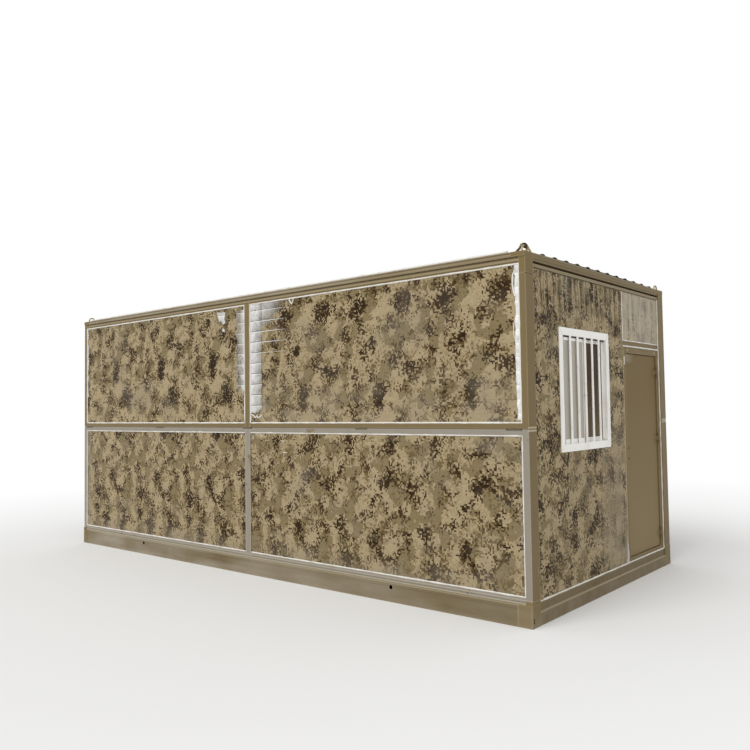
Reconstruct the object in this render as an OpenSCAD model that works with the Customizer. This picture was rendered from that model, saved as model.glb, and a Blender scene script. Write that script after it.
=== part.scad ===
// Folding container house: a steel base frame with a floor, two long side walls that are each
// split at mid height and hinged on the outside, a door end, a rear end and a light roof.
// Origin: centre of the underside of the base. X runs along the house towards the door end,
// Z is up. Left and right are as seen by someone who stands outside and faces the door.

/* [Overall size] */
// Length over the end faces of the corner posts
house_l = 5800; // [4600:50:7000]
// Width over the outer faces of the base side beams
house_w = 2500; // [2050:10:3050]
// Height from the ground to the top of the roof beams
house_h = 2500; // [2380:10:3000]

/* [Base frame] */
// Height of the base beams
base_h = 150; // [120:5:180]
// Width of the base beams, which is also the depth of the corner posts
post_w = 110; // [90:1:135]
// Sheet thickness of the base beams and corner boxes
beam_wall = 4; // [3:0.5:6]
// Height of the base corner boxes at the end face
base_corner_h = 173; // [160:1:200]
// Height of the proud lower band on the base end beams
end_beam_band_h = 90; // [50:5:100]
// Radius of the tie-down holes in the base side beams
tie_hole_r = 17; // [10:1:25]
// Distance of the tie-down holes from the middle of the house
tie_hole_x = 1680; // [1200:10:2000]
// Height of the tie-down holes above the ground
tie_hole_z = 112; // [90:1:125]
// Width of the lashing slots in the base corners
lash_slot_w = 14; // [8:1:20]
// Height of the lashing slots in the base corners
lash_slot_h = 40; // [20:1:60]
// Distance of the lashing slots from the long side's face
lash_slot_inset = 18; // [10:1:40]
// Height of the lower end of the lashing slots
lash_slot_z = 28; // [20:1:50]

/* [Floor] */
// Number of floor joists
joist_count = 9; // [5:1:13]
// Width of a floor joist
joist_w = 50; // [30:5:80]
// Height of a floor joist
joist_h = 90; // [60:5:100]
// Thickness of the floor board
floor_t = 18; // [12:1:25]

/* [Side walls] */
// Width of the end stiles of a side wall frame
stile_w = 50; // [40:5:80]
// Width of the middle stile of a side wall frame
mullion_w = 75; // [50:5:120]
// Height of the rails at the base and at the roof
outer_rail_h = 45; // [35:1:60]
// Height of each of the two rails that meet at mid height
mid_rail_h = 40; // [30:1:60]
// Height of the joint between the lower and the upper frame
mid_joint_z = 1305; // [1200:5:1400]
// Set-back of the wall frames from the face of the base beams
frame_setback = 6; // [4:1:10]
// Set-back of the panels from the face of their frame
panel_setback = 8; // [5:1:15]
// Thickness of the sandwich panels
panel_t = 50; // [40:5:75]
// Height of the shadow grooves at the joints between frames
groove_h = 5; // [3:1:8]
// Depth of the shadow grooves
groove_d = 6; // [4:1:10]

/* [Fold hinges] */
// Number of hinges along the mid joint of each side wall
fold_hinge_count = 5; // [3:1:7]
// Length of a fold hinge
fold_hinge_l = 120; // [80:5:160]
// Radius of a fold hinge's barrel
fold_barrel_r = 6; // [5:0.5:8]
// Distance of the outermost hinges from the end of the house
fold_hinge_inset = 115; // [90:5:200]

/* [Roof] */
// Height of the visible band of the roof beams
roof_band_h = 34; // [25:1:50]
// Depth of the roof beam's inner web below the top of the beam
roof_web_h = 84; // [70:1:110]
// Thickness of the roof beam's inner web
roof_web_t = 30; // [20:1:40]
// Height that the roof corners reach down the end faces
roof_corner_h = 147; // [130:1:180]
// Number of roof joists
roof_joist_count = 8; // [5:1:11]
// Width of a roof joist
roof_joist_w = 40; // [30:5:60]
// Height of a roof joist
roof_joist_h = 80; // [50:5:100]
// Thickness of the ceiling panel
ceiling_t = 16; // [10:1:30]
// Thickness of the roof sheet
sheet_t = 2; // [1:0.5:4]
// Height of the roof sheet's ribs
sheet_rib_h = 10; // [6:1:30]
// Number of ribs across the roof sheet
sheet_rib_count = 14; // [8:1:18]
// Rise of the roof sheet's middle over its edges
sheet_crown = 10; // [4:1:50]
// Inset of the roof sheet from the outer faces
sheet_inset = 12; // [8:1:30]

/* [Lifting rings] */
// Radius of the ring's bar
ring_bar_r = 7; // [5:0.5:9]
// Radius of the ring's bend to the middle of the bar
ring_bend_r = 32; // [26:1:34]
// Height of the ring's straight legs
ring_leg_h = 15; // [8:1:30]
// Distance of the ring's middle from the long side's face
ring_inset = 70; // [50:1:70]
// Distance of the ring from the end face
ring_end_inset = 40; // [20:1:80]

/* [End walls] */
// Set-back of the end wall face from the end face of the posts
end_setback = 18; // [14:1:30]
// Set-back of the upper part of the base end beam
end_beam_setback = 12; // [5:1:14]
// Height of the end wall's top rail
end_rail_h = 20; // [15:1:30]
// Clear gap between the end wall's top rail and the roof beam
end_gap_h = 17; // [10:1:25]
// Height of the roof beam's return under its proud band
end_return_h = 19; // [10:1:25]

/* [Windows] */
// Width over the window's outer flange
window_w = 830; // [600:10:1000]
// Height over the window's outer flange
window_h = 900; // [600:10:1000]
// Height of the flange's lower edge
window_z = 1124; // [900:1:1250]
// Distance of the front window from the middle of its wall panel, towards the door
window_shift = 40; // [-60:5:60]
// Width of the window's flange
flange_w = 55; // [40:5:80]
// Thickness of the window's flange
flange_t = 8; // [4:1:12]
// Thickness of the window's liner inside the wall
liner_t = 10; // [6:1:20]
// Number of security bars
bar_count = 5; // [3:1:8]
// Width of a security bar
bar_w = 26; // [10:1:34]
// Thickness of a security bar
bar_t = 6; // [4:1:8]
// Width of the sash profiles
sash_w = 34; // [25:1:50]
// Thickness of the sash profiles
sash_t = 14; // [10:1:16]
// Distance of the outer sash behind the wall's face
sash_inset = 6; // [4:1:12]
// Gap between the two sashes
sash_gap = 2; // [1:0.5:4]
// Thickness of the glass
glass_t = 5; // [4:1:8]

/* [Door] */
// Width over the door frame, which stands against the right post
door_w = 790; // [650:1:950]
// Width of the door frame's jambs
jamb_w = 53; // [40:1:60]
// Height of the sill of the door frame above the base
sill_h = 38; // [25:1:60]
// Height of the opening's upper edge
door_top_z = 1890; // [1800:10:1950]
// Height of the door frame's head
head_h = 57; // [40:1:70]
// Height of the bar between the door frame and the transom panel
transom_bar_h = 43; // [30:1:60]
// Depth of the door frame
door_frame_t = 64; // [60:1:80]
// Thickness of the door leaf
leaf_t = 40; // [30:1:42]
// Set-back of the leaf from the frame's face
leaf_setback = 12; // [9:1:14]
// Clearance all round the leaf
leaf_gap = 5; // [5:0.5:8]
// Depth that the stop reaches behind the leaf
stop_w = 15; // [10:1:20]
// Height of a door hinge
hinge_h = 100; // [80:5:140]
// Radius of a door hinge's barrel
hinge_r = 8; // [7:0.5:8.5]
// Radius of a door hinge's pin
hinge_pin_r = 4; // [3:0.5:5]
// Thickness of the hinge plates
hinge_plate_t = 3; // [2:0.5:4]
// Width of the hinge plates
hinge_plate_w = 38; // [25:1:45]
// Gap between the ends of a hinge's knuckles
hinge_end_gap = 1; // [0.5:0.5:2]
// Gap between a hinge's knuckles and the jamb's face
hinge_stand_off = 0.5; // [0.5:0.5:1]
// Heights of the middles of the door hinges
door_hinge_z = [305, 1150, 1740];
// Radius of the holes for the handle's spindle and for the lock's cylinder
lock_hole_r = 9; // [6:0.5:12]
// Heights of the two lock holes
lock_hole_z = [1004, 1092];
// Distance of the lock holes from the leaf's edge
lock_inset = 43; // [35:1:60]
// Height of the lock's face plate
lock_plate_h = 200; // [160:5:240]
// Width of the lock's face plate
lock_plate_w = 22; // [18:1:26]
// Thickness of the lock's face plate
lock_plate_t = 3; // [2:0.5:4]
// Size of the lock case: thickness, depth and height
lock_case = [14, 62, 150];

/* [Hidden] */

// Clearance between two pieces that are seated on each other
seat = 0.3;
// Radial clearance of a hinge pin
pin_gap = 0.3;
// Overlap of a cutting shape past the face that it cuts
cut = 1;

paint = [0.47, 0.41, 0.29];
camo = [0.53, 0.47, 0.36];
inner_white = [0.85, 0.86, 0.85];
window_white = [0.88, 0.87, 0.85];
zinc = [0.72, 0.73, 0.74];
board_brown = [0.55, 0.42, 0.30];
clear_glass = [0.6, 0.65, 0.66, 0.4];

half_l = house_l / 2;
half_w = house_w / 2;
base_top = base_h;
frame_depth = post_w - frame_setback;
inner_y = half_w - post_w;
stile_x = half_l - stile_w;
roof_band_z = house_h - roof_band_h;
roof_corner_z = house_h - roof_corner_h;
web_z = house_h - roof_web_h;
wall_face = half_l - end_setback;
wall_back = wall_face - panel_t;
end_rail_top = roof_band_z - end_gap_h - end_return_h;
end_panel_top = end_rail_top - end_rail_h;
ceiling_z = web_z - seat - ceiling_t;

// A box given by its low and high corners
module box(low, high) {
    translate(low) cube(high - low);
}

// Children at all four corners: drawn once at the left corner of the door end
module at_four_corners() {
    for (mx = [0, 1], my = [0, 1])
        mirror([mx, 0, 0]) mirror([0, my, 0]) children();
}

// ---- Base frame ----

// Rectangular tube under a long side, on the left of the house, with two tie-down holes
module side_base_tube() {
    tube_l = half_l - post_w - seat;
    difference() {
        box([-tube_l, -half_w, 0], [tube_l, -inner_y, base_top]);
        box([-tube_l - cut, -half_w + beam_wall, beam_wall],
            [tube_l + cut, -inner_y - beam_wall, base_top - beam_wall]);
        for (side = [-1, 1])
            translate([side * tie_hole_x, -half_w - cut, tie_hole_z])
                rotate([-90, 0, 0]) cylinder(r = tie_hole_r, h = beam_wall + 2 * cut, $fn = 48);
    }
}

module base_beam_left() { color(paint) side_base_tube(); }
module base_beam_right() { color(paint) mirror([0, 1, 0]) side_base_tube(); }

// Outline of the base end beam, seen along Y: its upper part steps back from the end face
function end_beam_outline(wall) = [
    [half_l - post_w + wall, wall],
    [half_l - wall, wall],
    [half_l - wall, end_beam_band_h - wall],
    [half_l - end_beam_setback - wall, end_beam_band_h - wall],
    [half_l - end_beam_setback - wall, base_top - wall],
    [half_l - post_w + wall, base_top - wall]];

module end_base_tube() {
    rotate([90, 0, 0]) linear_extrude(height = 2 * (inner_y - seat), center = true)
        difference() {
            polygon(end_beam_outline(0));
            polygon(end_beam_outline(beam_wall));
        }
}

module base_beam_front() { color(paint) end_base_tube(); }
module base_beam_rear() { color(paint) mirror([1, 0, 0]) end_base_tube(); }

// Welded corner box with a tongue that carries the wall's post, and a lashing slot
module base_corner() {
    low_x = half_l - post_w;
    difference() {
        union() {
            box([low_x, -half_w, 0], [half_l, -inner_y, base_top]);
            box([stile_x, -half_w, base_top - cut], [half_l, -inner_y, base_corner_h]);
        }
        box([low_x + beam_wall, -half_w + beam_wall, beam_wall],
            [half_l - beam_wall, -inner_y - beam_wall, base_top - beam_wall]);
        box([half_l - beam_wall - cut, -half_w + lash_slot_inset, lash_slot_z],
            [half_l + cut, -half_w + lash_slot_inset + lash_slot_w, lash_slot_z + lash_slot_h]);
    }
}

module base_corners() { color(paint) at_four_corners() base_corner(); }

// ---- Floor ----

module floor_joists() {
    span = house_l - 2 * post_w;
    pitch = span / (joist_count + 1);
    top = base_top - floor_t - seat;
    color(zinc)
        for (i = [1 : joist_count])
            box([-span / 2 + i * pitch - joist_w / 2, -inner_y + seat, top - joist_h],
                [-span / 2 + i * pitch + joist_w / 2, inner_y - seat, top]);
}

module floor_board() {
    color(board_brown)
        box([-half_l + post_w + seat, -inner_y + seat, base_top - floor_t],
            [half_l - post_w - seat, inner_y - seat, base_top]);
}

// ---- Side walls ----

lower_bottom = base_top + seat;
lower_top = mid_joint_z - seat / 2;
upper_bottom = mid_joint_z + seat / 2;
upper_top = roof_band_z - seat;

function fold_hinge_x(i) =
    -half_l + fold_hinge_inset
    + i * (house_l - 2 * fold_hinge_inset) / (fold_hinge_count - 1);

// Welded frame of one wall half with two equal bays: bottom and top are its rails' heights
module wall_frame(z_low, z_high, rail_low, rail_high) {
    y_out = -half_w + frame_setback;
    difference() {
        box([-half_l, y_out, z_low], [half_l, -inner_y, z_high]);
        for (side = [-1, 1])
            box([side > 0 ? mullion_w / 2 : -stile_x, y_out - cut, z_low + rail_low],
                [side > 0 ? stile_x : -mullion_w / 2, -inner_y + cut, z_high - rail_high]);
    }
}

// Shadow groove round the outer and end faces of a frame at one height
module joint_groove(z_low) {
    y_out = -half_w + frame_setback;
    box([-half_l - cut, y_out - cut, z_low], [half_l + cut, y_out + groove_d, z_low + groove_h]);
    at_both_ends_of_side()
        box([half_l - groove_d, y_out - cut, z_low],
            [half_l + cut, -inner_y + cut, z_low + groove_h]);
}

// Recesses for the fold hinges along the mid joint
module fold_hinge_pockets() {
    y_out = -half_w + frame_setback;
    room = fold_barrel_r + 2;
    for (i = [0 : fold_hinge_count - 1])
        box([fold_hinge_x(i) - fold_hinge_l / 2 - 2, y_out - cut, mid_joint_z - room],
            [fold_hinge_x(i) + fold_hinge_l / 2 + 2, y_out + room, mid_joint_z + room]);
}

module lower_frame() {
    difference() {
        wall_frame(lower_bottom, lower_top, outer_rail_h, mid_rail_h);
        at_both_ends_of_side()
            box([stile_x - seat, -half_w - cut, base_top - cut],
                [half_l + cut, -inner_y + cut, base_corner_h + seat]);
        fold_hinge_pockets();
    }
}

module upper_frame() {
    difference() {
        wall_frame(upper_bottom, upper_top, mid_rail_h, outer_rail_h);
        at_both_ends_of_side()
            box([stile_x - seat, -half_w - cut, roof_corner_z - seat],
                [half_l + cut, -inner_y + cut, house_h]);
        joint_groove(upper_bottom - cut);
        box([-half_l - cut, -half_w - cut, upper_top - groove_h],
            [half_l + cut, -half_w + frame_setback + groove_d, upper_top + cut]);
        fold_hinge_pockets();
    }
}

// Children at both ends of one long side
module at_both_ends_of_side() {
    children();
    mirror([1, 0, 0]) children();
}

// Two sandwich panels that fill the bays between two heights
module bay_panels(z_low, z_high) {
    y_face = -half_w + frame_setback + panel_setback;
    for (side = [-1, 1])
        box([(side > 0 ? mullion_w / 2 : -stile_x) + seat, y_face, z_low + seat],
            [(side > 0 ? stile_x : -mullion_w / 2) - seat, y_face + panel_t, z_high - seat]);
}

module lower_panels() { bay_panels(lower_bottom + outer_rail_h, lower_top - mid_rail_h); }
module upper_panels() { bay_panels(upper_bottom + mid_rail_h, upper_top - outer_rail_h); }

// One fold hinge: a pin with two end knuckles for the upper frame, and a sleeve for the lower
module fold_hinge() {
    y_axis = -half_w + frame_setback;
    knuckle_l = fold_hinge_l / 3 - seat;
    pin_r = fold_barrel_r / 2;
    tab_t = 3;
    room = fold_barrel_r + 2;
    for (end = [-1, 1])
        translate([end * fold_hinge_l / 3, y_axis, mid_joint_z]) {
            rotate([0, 90, 0])
                cylinder(r = fold_barrel_r, h = knuckle_l, center = true, $fn = 32);
            box([-knuckle_l / 2, -tab_t / 2, 0], [knuckle_l / 2, tab_t / 2, room - seat]);
        }
    translate([0, y_axis, mid_joint_z]) {
        rotate([0, 90, 0]) cylinder(r = pin_r, h = fold_hinge_l - 2 * seat, center = true, $fn = 32);
        difference() {
            union() {
                rotate([0, 90, 0])
                    cylinder(r = fold_barrel_r, h = knuckle_l, center = true, $fn = 32);
                box([-knuckle_l / 2, -tab_t / 2, -room + seat], [knuckle_l / 2, tab_t / 2, 0]);
            }
            rotate([0, 90, 0])
                cylinder(r = pin_r + pin_gap, h = fold_hinge_l, center = true, $fn = 32);
        }
    }
}

module fold_hinges() {
    for (i = [0 : fold_hinge_count - 1])
        translate([fold_hinge_x(i), 0, 0]) fold_hinge();
}

module left_lower_frame() { color(paint) lower_frame(); }
module left_lower_panels() { color(camo) lower_panels(); }
module left_upper_frame() { color(paint) upper_frame(); }
module left_upper_panels() { color(camo) upper_panels(); }
module left_fold_hinges() { color(paint) fold_hinges(); }
module right_lower_frame() { color(paint) mirror([0, 1, 0]) lower_frame(); }
module right_lower_panels() { color(camo) mirror([0, 1, 0]) lower_panels(); }
module right_upper_frame() { color(paint) mirror([0, 1, 0]) upper_frame(); }
module right_upper_panels() { color(camo) mirror([0, 1, 0]) upper_panels(); }
module right_fold_hinges() { color(paint) mirror([0, 1, 0]) fold_hinges(); }

// ---- Windows ----

door_high_y = inner_y - seat;
door_low_y = door_high_y - door_w;
window_mid_y = (door_low_y - inner_y) / 2 + window_shift;
window_low_y = window_mid_y - window_w / 2;
window_high_y = window_low_y + window_w;
window_top_z = window_z + window_h;
clear_low_y = window_low_y + flange_w;
clear_high_y = window_high_y - flange_w;
clear_low_z = window_z + flange_w;
clear_high_z = window_top_z - flange_w;

// Hole in the wall for the window's liner
module window_cut() {
    grow = liner_t + seat;
    box([wall_back - cut, clear_low_y - grow, clear_low_z - grow],
        [wall_face + cut, clear_high_y + grow, clear_high_z + grow]);
}

// Flange on the wall's face and a liner through the wall, in one piece
module window_frame() {
    difference() {
        union() {
            box([wall_face + seat, window_low_y, window_z],
                [wall_face + seat + flange_t, window_high_y, window_top_z]);
            box([wall_back, clear_low_y - liner_t, clear_low_z - liner_t],
                [wall_face + flange_t, clear_high_y + liner_t, clear_high_z + liner_t]);
        }
        box([wall_back - cut, clear_low_y, clear_low_z],
            [half_l + cut, clear_high_y, clear_high_z]);
    }
}

// Upright flat bars set in the window's opening
module window_bars() {
    pitch = (clear_high_y - clear_low_y) / (bar_count + 1);
    for (i = [1 : bar_count])
        box([wall_face + seat, clear_low_y + i * pitch - bar_w / 2, clear_low_z + seat],
            [wall_face + seat + bar_t, clear_low_y + i * pitch + bar_w / 2, clear_high_z - seat]);
}

// Plan of one sliding sash: its track, and its low and high side
sash_l = (clear_high_y - clear_low_y + sash_w) / 2 - seat;
function sash_x(i) = wall_face - sash_inset - (i + 1) * (sash_t + sash_gap);
function sash_y(i) = i == 0 ? clear_low_y + seat : clear_high_y - seat - sash_l;

module window_sashes() {
    for (i = [0, 1])
        difference() {
            box([sash_x(i), sash_y(i), clear_low_z + seat],
                [sash_x(i) + sash_t, sash_y(i) + sash_l, clear_high_z - seat]);
            box([sash_x(i) - cut, sash_y(i) + sash_w, clear_low_z + sash_w],
                [sash_x(i) + sash_t + cut, sash_y(i) + sash_l - sash_w, clear_high_z - sash_w]);
        }
}

module window_glass() {
    for (i = [0, 1])
        box([sash_x(i) + (sash_t - glass_t) / 2, sash_y(i) + sash_w + seat,
             clear_low_z + sash_w + seat],
            [sash_x(i) + (sash_t + glass_t) / 2, sash_y(i) + sash_l - sash_w - seat,
             clear_high_z - sash_w - seat]);
}

// ---- Front end wall ----

door_head_z = door_top_z + head_h;
transom_z = door_head_z + transom_bar_h;
opening_low_y = door_low_y + jamb_w;
opening_high_y = door_high_y - jamb_w;
opening_low_z = base_top + sill_h;
frame_back = wall_face - door_frame_t;

// Top rail of an end wall, just under the gap to the roof beam
module end_top_rail() {
    box([wall_back, -inner_y + seat, end_panel_top],
        [half_l - end_beam_setback, inner_y - seat, end_rail_top]);
}

module front_wall_panel() {
    color(camo) difference() {
        box([wall_back, -inner_y + seat, base_top + seat],
            [wall_face, door_low_y - seat, end_panel_top - seat]);
        window_cut();
    }
}

module front_top_rail() { color(paint) end_top_rail(); }
module front_window_frame() { color(window_white) window_frame(); }
module front_window_bars() { color(window_white) window_bars(); }
module front_window_sashes() { color(window_white) window_sashes(); }
module front_window_glass() { color(clear_glass) window_glass(); }

module transom_panel() {
    color(camo)
        box([wall_back, door_low_y, transom_z + seat],
            [wall_face, door_high_y, end_panel_top - seat]);
}

module transom_bar() {
    color(paint)
        box([wall_back, door_low_y, door_head_z + seat], [wall_face, door_high_y, transom_z]);
}

// ---- Door ----

hinge_x = wall_face + hinge_r + hinge_stand_off;
hinge_y = opening_high_y - leaf_gap / 2;
leaf_out_x = wall_face - leaf_setback;
leaf_low_y = opening_low_y + leaf_gap;
leaf_high_y = opening_high_y - leaf_gap;
leaf_low_z = opening_low_z + leaf_gap;
leaf_high_z = door_top_z - leaf_gap;
door_pitch = hinge_h / 3;

// Ring of jambs, head and sill, with a stop that the leaf closes against
module door_frame() {
    color(paint) difference() {
        box([frame_back, door_low_y, base_top + seat], [wall_face, door_high_y, door_head_z]);
        box([leaf_out_x - leaf_t - leaf_gap, opening_low_y, opening_low_z],
            [wall_face + cut, opening_high_y, door_top_z]);
        box([frame_back - cut, opening_low_y + stop_w, opening_low_z],
            [wall_face, opening_high_y - stop_w, door_top_z - stop_w]);
    }
}

// Hinge half on the jamb: a plate, two outer knuckles and the pin
module jamb_hinge_half() {
    knuckle_h = door_pitch - hinge_end_gap;
    plate_h = hinge_h - hinge_end_gap;
    for (end = [-1, 1])
        translate([0, 0, end * door_pitch]) {
            translate([hinge_x, hinge_y, 0])
                cylinder(r = hinge_r, h = knuckle_h, center = true, $fn = 48);
            box([wall_face + seat, hinge_y, -knuckle_h / 2],
                [wall_face + seat + hinge_plate_t, hinge_y + hinge_plate_w, knuckle_h / 2]);
        }
    box([wall_face + seat, hinge_y + hinge_r + leaf_gap, -plate_h / 2],
        [wall_face + seat + hinge_plate_t, hinge_y + hinge_plate_w, plate_h / 2]);
    translate([hinge_x, hinge_y, 0])
        cylinder(r = hinge_pin_r, h = hinge_h - 2 * hinge_end_gap, center = true, $fn = 48);
}

module door_hinge_jamb_leaves() {
    color(paint) for (z = door_hinge_z) translate([0, 0, z]) jamb_hinge_half();
}

module door_leaf() {
    color(paint) difference() {
        box([leaf_out_x - leaf_t, leaf_low_y, leaf_low_z], [leaf_out_x, leaf_high_y, leaf_high_z]);
        lock_body(seat);
        translate([0, -cut, 0]) lock_body(seat);
        lock_holes();
    }
}

// Hinge half on the leaf: a plate on its face, a web that stands out to the pin, and a sleeve
module door_hinge_half() {
    web_t = 4;
    sleeve_h = door_pitch - hinge_end_gap;
    difference() {
        union() {
            translate([hinge_x, hinge_y, 0])
                cylinder(r = hinge_r, h = sleeve_h, center = true, $fn = 48);
            box([leaf_out_x + seat, hinge_y - hinge_r, -sleeve_h / 2],
                [hinge_x, hinge_y - hinge_r + web_t, sleeve_h / 2]);
            box([leaf_out_x + seat, hinge_y - hinge_r - hinge_plate_w, -sleeve_h / 2],
                [leaf_out_x + seat + hinge_plate_t, hinge_y - hinge_r + web_t, sleeve_h / 2]);
        }
        translate([hinge_x, hinge_y, 0])
            cylinder(r = hinge_pin_r + pin_gap, h = hinge_h, center = true, $fn = 48);
    }
}

module door_hinge_door_leaves() {
    color(paint) for (z = door_hinge_z) translate([0, 0, z]) door_hinge_half();
}

// Mortise lock: a face plate flush with the leaf's edge and a case behind it
module lock_body(grow) {
    lock_mid_z = (lock_hole_z[0] + lock_hole_z[1]) / 2;
    translate([leaf_out_x - leaf_t / 2, leaf_low_y, lock_mid_z]) {
        box([-lock_plate_w / 2 - grow, 0, -lock_plate_h / 2 - grow],
            [lock_plate_w / 2 + grow, lock_plate_t + grow, lock_plate_h / 2 + grow]);
        box([-lock_case[0] / 2 - grow, 0, -lock_case[2] / 2 - grow],
            [lock_case[0] / 2 + grow, lock_case[1] + grow, lock_case[2] / 2 + grow]);
    }
}

// Round holes through the leaf and the lock, for the handle's spindle and the cylinder
module lock_holes() {
    for (z = lock_hole_z)
        translate([leaf_out_x - leaf_t - cut, leaf_low_y + lock_inset, z])
            rotate([0, 90, 0]) cylinder(r = lock_hole_r, h = leaf_t + 2 * cut, $fn = 32);
}

module door_lock() {
    color(zinc) difference() {
        lock_body(0);
        lock_holes();
    }
}

// ---- Rear end wall ----

// Children of the front window, moved to the middle of the rear end wall
module at_rear_window() {
    rotate([0, 0, 180]) translate([0, -window_mid_y, 0]) children();
}

module rear_wall_panel() {
    color(camo) difference() {
        rotate([0, 0, 180])
            box([wall_back, -inner_y + seat, base_top + seat],
                [wall_face, inner_y - seat, end_panel_top - seat]);
        at_rear_window() window_cut();
    }
}

module rear_top_rail() { color(paint) rotate([0, 0, 180]) end_top_rail(); }
module rear_window_frame() { color(window_white) at_rear_window() window_frame(); }
module rear_window_bars() { color(window_white) at_rear_window() window_bars(); }
module rear_window_sashes() { color(window_white) at_rear_window() window_sashes(); }
module rear_window_glass() { color(clear_glass) at_rear_window() window_glass(); }

// ---- Roof ----

// Folded beam over a long side: a flat band over the wall and a web behind it
module side_roof_beam() {
    beam_l = half_l - post_w - seat;
    union() {
        box([-beam_l, -half_w, roof_band_z], [beam_l, -inner_y + roof_web_t, house_h]);
        box([-beam_l, -inner_y + seat, web_z], [beam_l, -inner_y + roof_web_t, house_h - cut]);
    }
}

// Folded beam over an end: a proud band, a short return under it and a web behind the wall
module end_roof_beam() {
    return_z = end_rail_top + end_gap_h;
    half_span = inner_y - seat;
    box([half_l - post_w, -half_span, roof_band_z], [half_l, half_span, house_h]);
    box([half_l - post_w, -half_span, return_z],
        [half_l - end_beam_setback / 2, half_span, roof_band_z + cut]);
    box([half_l - post_w, -half_span, web_z],
        [wall_back - seat, half_span, roof_band_z + cut]);
}

// Corner of the roof frame, which reaches down to the top of the wall's post
module roof_corner() {
    box([half_l - post_w, -half_w, roof_band_z], [half_l, -inner_y, house_h]);
    box([stile_x, -half_w + frame_setback, roof_corner_z],
        [half_l, -inner_y, roof_band_z + cut]);
}

module roof_beam_left() { color(paint) side_roof_beam(); }
module roof_beam_right() { color(paint) mirror([0, 1, 0]) side_roof_beam(); }
module roof_beam_front() { color(paint) end_roof_beam(); }
module roof_beam_rear() { color(paint) mirror([1, 0, 0]) end_roof_beam(); }
module roof_corners() { color(paint) at_four_corners() roof_corner(); }

module roof_joists() {
    span = house_l - 2 * post_w;
    pitch = span / (roof_joist_count + 1);
    half_span = inner_y - roof_web_t - seat;
    color(zinc)
        for (i = [1 : roof_joist_count])
            box([-span / 2 + i * pitch - roof_joist_w / 2, -half_span, web_z],
                [-span / 2 + i * pitch + roof_joist_w / 2, half_span, web_z + roof_joist_h]);
}

module ceiling_panel() {
    color(inner_white)
        box([-wall_back + seat, -inner_y + seat, ceiling_z],
            [wall_back - seat, inner_y - seat, ceiling_z + ceiling_t]);
}

// Outline points of the ribbed sheet's upper face, across the house
sheet_half_w = half_w - sheet_inset;
rib_pitch = 2 * sheet_half_w / sheet_rib_count;
function sheet_z(y) = house_h + seat + sheet_t + sheet_crown * (1 - pow(y / sheet_half_w, 2));
function rib_points(i, up) =
    let (y0 = -sheet_half_w + i * rib_pitch)
    [for (p = [[0, 0], [0.3, 0], [0.42, 1], [0.58, 1], [0.7, 0]])
        [y0 + p[0] * rib_pitch, sheet_z(y0 + p[0] * rib_pitch) + p[1] * sheet_rib_h - up]];
sheet_top = [for (i = [0 : sheet_rib_count - 1]) each rib_points(i, 0)];
sheet_under = [for (i = [0 : sheet_rib_count - 1]) each rib_points(i, sheet_t)];
function reversed(list) = [for (i = [len(list) - 1 : -1 : 0]) list[i]];

// A ribbed sheet from end to end, and a narrow strip along each long side that stops
// short of the lifting rings
module roof_sheet() {
    edge = [sheet_half_w, sheet_z(sheet_half_w)];
    notch_x = half_l - post_w - ring_bar_r;
    notch_y = half_w - 2 * ring_inset;
    over_ribs = house_h + sheet_crown + 2 * sheet_rib_h;
    color(zinc) difference() {
        rotate([90, 0, 90]) linear_extrude(height = house_l - 2 * sheet_inset, center = true)
            polygon(concat(sheet_top, [edge, edge - [0, sheet_t]], reversed(sheet_under)));
        at_four_corners()
            box([notch_x, -half_w - cut, house_h - cut], [half_l + cut, -notch_y, over_ribs]);
        for (joint_y = [-notch_y, notch_y])
            box([-half_l, joint_y - seat / 2, house_h - cut],
                [half_l, joint_y + seat / 2, over_ribs]);
    }
}

// Bent bar welded on the roof corner
module lifting_ring() {
    translate([half_l - ring_end_inset, -half_w + ring_inset, house_h + seat]) {
        for (side = [-1, 1])
            translate([0, side * ring_bend_r, 0])
                cylinder(r = ring_bar_r, h = ring_leg_h, $fn = 32);
        translate([0, 0, ring_leg_h]) difference() {
            rotate([0, 90, 0]) rotate_extrude($fn = 64)
                translate([ring_bend_r, 0]) circle(r = ring_bar_r, $fn = 32);
            box([-2 * ring_bar_r, -2 * ring_bend_r, -2 * ring_bend_r],
                [2 * ring_bar_r, 2 * ring_bend_r, 0]);
        }
    }
}

module lifting_rings() { color(paint) at_four_corners() lifting_ring(); }

base_beam_left();
base_beam_right();
base_beam_front();
base_beam_rear();
base_corners();
floor_joists();
floor_board();
left_lower_frame();
left_lower_panels();
left_upper_frame();
left_upper_panels();
left_fold_hinges();
right_lower_frame();
right_lower_panels();
right_upper_frame();
right_upper_panels();
right_fold_hinges();
front_wall_panel();
front_top_rail();
front_window_frame();
front_window_bars();
front_window_sashes();
front_window_glass();
transom_panel();
transom_bar();
door_frame();
door_hinge_jamb_leaves();
door_leaf();
door_hinge_door_leaves();
door_lock();
rear_wall_panel();
rear_top_rail();
rear_window_frame();
rear_window_bars();
rear_window_sashes();
rear_window_glass();
roof_beam_left();
roof_beam_right();
roof_beam_front();
roof_beam_rear();
roof_corners();
roof_joists();
ceiling_panel();
roof_sheet();
lifting_rings();
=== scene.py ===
import math
import random

import bmesh
import bpy
from mathutils import Matrix, Vector, noise


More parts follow.
